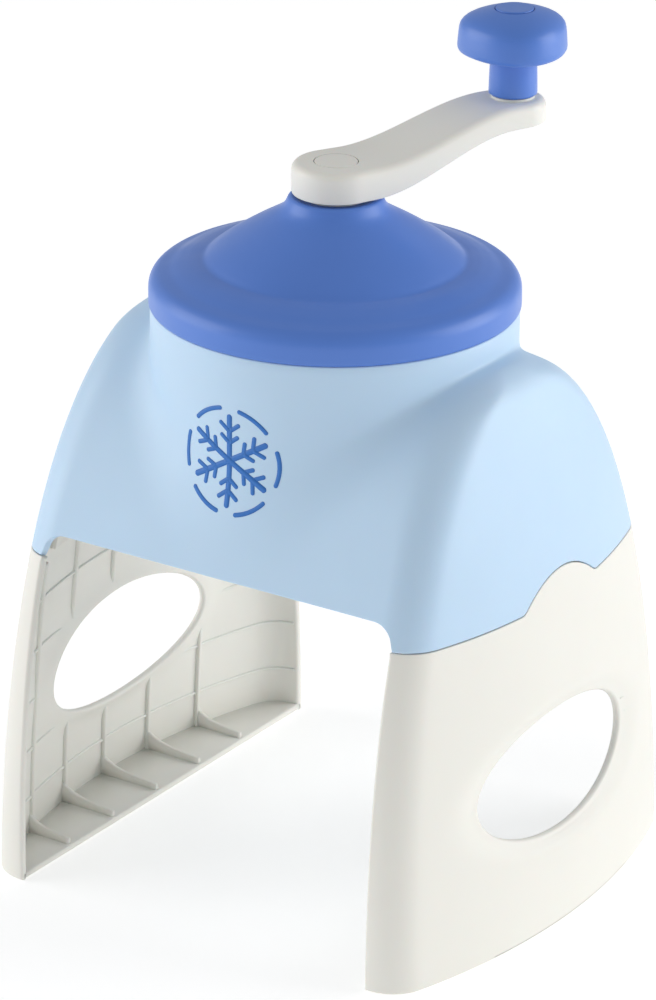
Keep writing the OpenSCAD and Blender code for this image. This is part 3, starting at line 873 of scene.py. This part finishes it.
def make_knob():
    """Knob in one skin: bore, stem, underside, three-lobed side, crown and the cap's seat."""
    base = KNOB_LOW[2]
    crown = KNOB_HIGH[2]
    cx, cy = KNOB_AXIS[0], KNOB_AXIS[1]
    a = np.linspace(0, 2 * math.pi, 180, endpoint=False)
    bore = PIN_BORE
    rows = [(bore, base + 0.3, 0), (bore + 0.3, base, 0), (7.7, base, 0), (8.1, base + 0.3, 0),
            (8.2, base + 0.8, 0), (8.1, base + 5, 0), (7.95, base + 10, 0), (8.0, base + 12.6, 0),
            (8.3, base + 13.4, 0), (9.2, base + 13.9, 0.1), (12, base + 14.05, 0.6),
            (15, base + 14.15, 1), (16.9, base + 14.35, 1), (17.8, base + 14.8, 1),
            (18.2, base + 15.5, 1), (18.3, base + 16.4, 1), (18.15, base + 18.5, 1),
            (17.95, base + 21, 1), (17.75, base + 22.6, 1)]
    shoulder = [(17.4, base + 23.8), (16.7, base + 24.8), (15.6, base + 25.8), (14, base + 26.8),
                (12, base + 27.7), (10, base + 28.4), (8.4, base + 28.9), (7.2, crown - 0.12)]
    rows += [(r, z, min(1, (r - 6.5) / 9)) for r, z in shoulder]
    seat = KNOB_CAP_LOW[2]
    rows += [(6.75, crown - 0.02, 0), (6.62, crown - 0.15, 0), (6.6, crown - 0.5, 0),
             (6.6, seat + 0.1, 0), (6.5, seat - 0.05, 0), (bore + 0.4, seat - 0.05, 0),
             (bore, seat - 0.4, 0)]
    rings = []
    for r, z, lobed in rows:
        q = r * (1 + (knob_lobe(a) - 1) * lobed)
        rings.append(np.stack([cx + q * np.cos(a), cy + q * np.sin(a), np.full(a.shape, z)], 1))
    parts = Parts()
    parts.grid(np.array(rings))
    add_mesh("knob_shell", parts.verts, parts.faces, LID_BLUE, "knob", ["knob"])


# ---- Screw, presser --------------------------------------------------------


def thread_radius(phase, crest, root):
    """Radius of a rounded trapezoid thread at a phase of 0 to 1 along the lead."""
    d = np.abs((phase + 0.5) % 1 - 0.5)
    return root + (crest - root) * smooth_step((0.34 - d) / 0.16)


def make_feed_screw():
    """One-start screw with its plain journal."""
    low, high = SCREW_LOW[2], SCREW_HIGH[2]
    shoulder = WASHER_LOW[2] - 0.2
    crest, root, journal = 6.3, 4.3, 6.0
    a = np.linspace(0, 2 * math.pi, 72, endpoint=False)
    rings = []
    z_values = np.arange(low, shoulder, 0.45)
    for z in z_values:
        phase = (z - low) / SCREW_LEAD - a / (2 * math.pi)
        ends = min(1, (z - low) / 1.2)
        r = thread_radius(phase, crest, root) * (0.86 + 0.14 * ends)
        rings.append(np.stack([r * np.cos(a), r * np.sin(a), np.full(a.shape, z)], 1))
    for r, z in ((crest, shoulder), (journal, shoulder + 0.1), (journal, high - 0.4),
                 (journal - 0.4, high)):
        rings.append(np.stack([r * np.cos(a), r * np.sin(a), np.full(a.shape, z)], 1))
    parts = Parts()
    parts.tube(np.array(rings))
    add_mesh("feed_screw_thread", parts.verts, parts.faces, IVORY, "crank",
             ["feed_screw"])


def make_presser():
    """Spiked plate with a rolled rim and ribs, and its tube, left plain inside; the spikes are
    made apart.
    """
    plate_low = PRESSER_LOW[2]
    plate_top = plate_low + 3.0
    tube_top = PRESSER_HIGH[2]
    r = PRESSER_R
    parts = Parts()
    bore = 6.9
    profile = [(bore, plate_low + 0.4), (bore + 0.4, plate_low), (r - 0.8, plate_low),
               (r - 0.2, plate_low + 0.3), (r, plate_low + 0.9), (r, plate_top - 0.7),
               (r - 0.3, plate_top - 0.15), (r - 0.9, plate_top), (TUBE_R + 2.2, plate_top),
               (TUBE_R + 0.8, plate_top + 0.4), (TUBE_R + 0.2, plate_top + 1.4),
               (TUBE_R - 0.1, plate_top + 3), (TUBE_R - 0.4, tube_top - 0.6),
               (TUBE_R - 0.9, tube_top), (bore + 0.5, tube_top), (bore, tube_top - 0.5)]
    parts.grid(lathe(profile, 160))
    for i in range(8):
        a = math.radians(45 * (i + 0.5))
        rib_points = []
        for x, z in ((TUBE_R - 0.8, plate_top + 9), (TUBE_R + 1.0, plate_top + 6.5),
                     (TUBE_R + 6, plate_top + 3.4), (r - 8, plate_top + 1.2),
                     (r - 6.6, plate_top + 0.2)):
            section = []
            for side, height in ((-1, plate_top - 0.6), (1, plate_top - 0.6), (1, z - 0.2),
                                 (0.6, z), (-0.6, z), (-1, z - 0.2)):
                y = side * 0.95
                section.append((x * math.cos(a) - y * math.sin(a),
                                x * math.sin(a) + y * math.cos(a), height))
            rib_points.append(section)
        parts.tube(np.array(rib_points))
    add_mesh("presser_plate", parts.verts, parts.faces, LID_BLUE, "presser",
             ["presser"])


def make_spikes():
    """Pointed steel pins with a small shoulder under the plate."""
    plate = PRESSER_LOW[2]
    tip = node_box("presser_spikes")[0][2]
    parts = Parts()
    places = [(34, 45 * i) for i in range(8)] + [(18, 90 * i) for i in range(4)]
    for radius, deg in places:
        centre = (radius * math.cos(math.radians(deg)), radius * math.sin(math.radians(deg)))
        profile = [(0.12, tip), (0.3, tip + 0.3), (1.15, tip + 3.9), (1.2, tip + 4.3),
                   (1.2, plate - 0.9), (1.9, plate - 0.6), (2.0, plate - 0.1), (1.9, plate + 0.1),
                   (1.2, plate + 0.15), (1.15, plate + 2.6)]
        parts.tube(lathe(profile, 24, centre))
    add_mesh("presser_pins", parts.verts, parts.faces, STEEL, "presser",
             ["presser_spikes"])


# ---- Print -----------------------------------------------------------------


def front_point(u, v, lift):
    """Point on the front of the housing, u to the right and v up, lifted off the surface."""
    x = u
    z = PRINT_Z + v
    y = -NECK_R
    for _ in range(12):
        a = math.atan2(y, x)
        r = float(body_r(np.array([a]), np.array([z]))[0])
        y = -math.sqrt(max(r * r - x * x, 1))
    scale = 1 + lift / math.hypot(x, y)
    return (x * scale, y * scale, z)


def print_stroke(parts, points, half, thickness=0.07):
    """Flat band along a line in the print's plane, with round ends."""
    points = np.array(points, dtype=float)
    length = np.concatenate([[0], np.cumsum(np.hypot(*np.diff(points, axis=0).T))])
    at = np.linspace(0, length[-1], max(int(length[-1] / 0.8), 3) + 1)
    line = np.stack([np.interp(at, length, points[:, 0]), np.interp(at, length, points[:, 1])], 1)
    tangent = unit(np.gradient(line, axis=0))
    side = np.stack([-tangent[:, 1], tangent[:, 0]], 1)
    stations = []
    for f in np.linspace(1, 0, 5)[:-1]:
        stations.append((line[0] - tangent[0] * half * f, half * math.sqrt(1 - f**2), side[0]))
    stations += [(p, half, across) for p, across in zip(line, side)]
    for f in np.linspace(0, 1, 5)[1:]:
        stations.append((line[-1] + tangent[-1] * half * f, half * math.sqrt(1 - f**2), side[-1]))
    grid = []
    for p, h, across in stations:
        reach = across * max(h, 0.05)
        grid.append([front_point(*(p + reach * t), lift) for lift, order in
                     ((thickness, (-1, 0, 1)), (-0.05, (1, 0, -1))) for t in order])
    parts.tube(np.array(grid)[:, ::-1])


def make_print():
    """Plain six-armed snowflake inside a broken ring, printed on the front."""
    parts = Parts()
    for i in range(6):
        a = math.radians(60 * i + 30)
        ux, uy = math.cos(a), math.sin(a)

        def at(along, across):
            return (ux * along - uy * across, uy * along + ux * across)

        if i < 3:
            print_stroke(parts, [at(-PRINT_R * 0.84, 0), at(PRINT_R * 0.84, 0)], 1.0)
        for along, reach in ((6.6, 3.0), (10.6, 3.4)):
            for side in (-1, 1):
                branch = [at(along, side * 0.6), at(along + reach * 0.62, side * reach)]
                print_stroke(parts, branch, 0.75)
    for i in range(6):
        arc_angles = np.radians(np.linspace(60 * i + 42, 60 * i + 78, 12))
        print_stroke(parts, [(PRINT_R * math.cos(d), PRINT_R * math.sin(d)) for d in arc_angles],
                     0.75)
    add_mesh("snowflake_print", parts.verts, parts.faces, PRINT_BLUE, "stand")


# ---- CAD pieces that keep their shape ---------------------------------------

KEPT = {
    "hopper": IVORY, "leg_screws": STEEL, "hopper_screws": STEEL, "blade_bridge": IVORY,
    "bridge_screws": STEEL, "shaft_bush": IVORY, "crank_screw": STEEL, "knob_pin": STEEL,
    "knob_washer": IVORY, "thrust_washer": STEEL, "blade_carrier": LID_BLUE, "blade": STEEL,
    "blade_screws": STEEL, "adjuster_knob": LID_BLUE, "adjuster_ring": STEEL,
}


def finish_kept_nodes():
    """Gives the CAD nodes that stay in view their materials."""
    for node, material in KEPT.items():
        for slot_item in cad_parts[node].material_slots:
            slot_item.material = material


# ---- Stage -------------------------------------------------------------------


def toward(azimuth, elevation):
    """Direction at an azimuth, counted from the front to the right, and an elevation."""
    a, e = math.radians(azimuth), math.radians(elevation)
    return Vector((math.sin(a) * math.cos(e), -math.cos(a) * math.cos(e), math.sin(e)))


def make_camera():
    """Long lens, to the right of the front and somewhat above."""
    back = toward(CAMERA_AZIMUTH, CAMERA_ELEVATION)
    place = Vector((0, 0, 0.150)) + back * CAMERA_DISTANCE
    aim = Vector((0.0026, -0.0073, 0.1312))
    data = bpy.data.cameras.new("camera")
    data.sensor_width = 36
    data.lens = 180
    data.clip_end = 20
    camera = bpy.data.objects.new("camera", data)
    bpy.context.scene.collection.objects.link(camera)
    camera.location = place
    roll = Quaternion((0, 0, 1), math.radians(CAMERA_ROLL))
    camera.rotation_euler = ((place - aim).to_track_quat("Z", "Y") @ roll).to_euler()
    bpy.context.scene.camera = camera


def add_area(name, azimuth, elevation, power, distance=2.0, size=1.6):
    """Square soft lamp aimed at the object."""
    back = toward(azimuth, elevation)
    data = bpy.data.lights.new(name, "AREA")
    data.size = size
    data.energy = power
    lamp = bpy.data.objects.new(name, data)
    bpy.context.scene.collection.objects.link(lamp)
    lamp.location = Vector((0, 0, 0.15)) + back * distance
    lamp.rotation_euler = back.to_track_quat("Z", "Y").to_euler()


def make_stage():
    """White floor and surroundings, with two soft studio lamps."""
    size = 6.0
    mesh = bpy.data.meshes.new("floor")
    mesh.from_pydata([(-size, -size, 0), (size, -size, 0), (size, size, 0), (-size, size, 0)],
                     [], [(0, 1, 2, 3)])
    floor = bpy.data.objects.new("floor", mesh)
    bpy.context.scene.collection.objects.link(floor)
    floor.location.z = -0.0002
    material, _, shader = principled("floor_white", 0.7)
    shader.inputs["Base Color"].default_value = (0.86, 0.86, 0.86, 1)
    shader.inputs["Emission Color"].default_value = (1, 1, 1, 1)
    shader.inputs["Emission Strength"].default_value = 0.42
    mesh.materials.append(material)
    world = bpy.data.worlds.new("studio")
    world.use_nodes = True
    world.node_tree.nodes["Background"].inputs["Color"].default_value = (1, 1, 1, 1)
    world.node_tree.nodes["Background"].inputs["Strength"].default_value = 0.49
    bpy.context.scene.world = world
    add_area("key_right", 125, 14, 23)
    add_area("front_fill", -60, 14, 19)
    bpy.context.scene.view_settings.view_transform = "Standard"


make_camera()
make_stage()
make_housing()
make_leg("leg_right_shell", "leg_right", False)
make_leg("leg_left_shell", "leg_left", True)
make_lid()
make_arm()
plug("crank_plug", "crank_cap", (0, 0), 7.2, CAP_LOW[2], CAP_HIGH[2], IVORY, "crank")
make_knob()
plug("knob_plug", "knob_cap", (KNOB_AXIS[0], KNOB_AXIS[1]), 6.4, KNOB_CAP_LOW[2],
     KNOB_CAP_HIGH[2] - 0.05, LID_BLUE, "knob", 0.05)
make_feed_screw()
make_presser()
make_spikes()
make_print()
finish_kept_nodes()
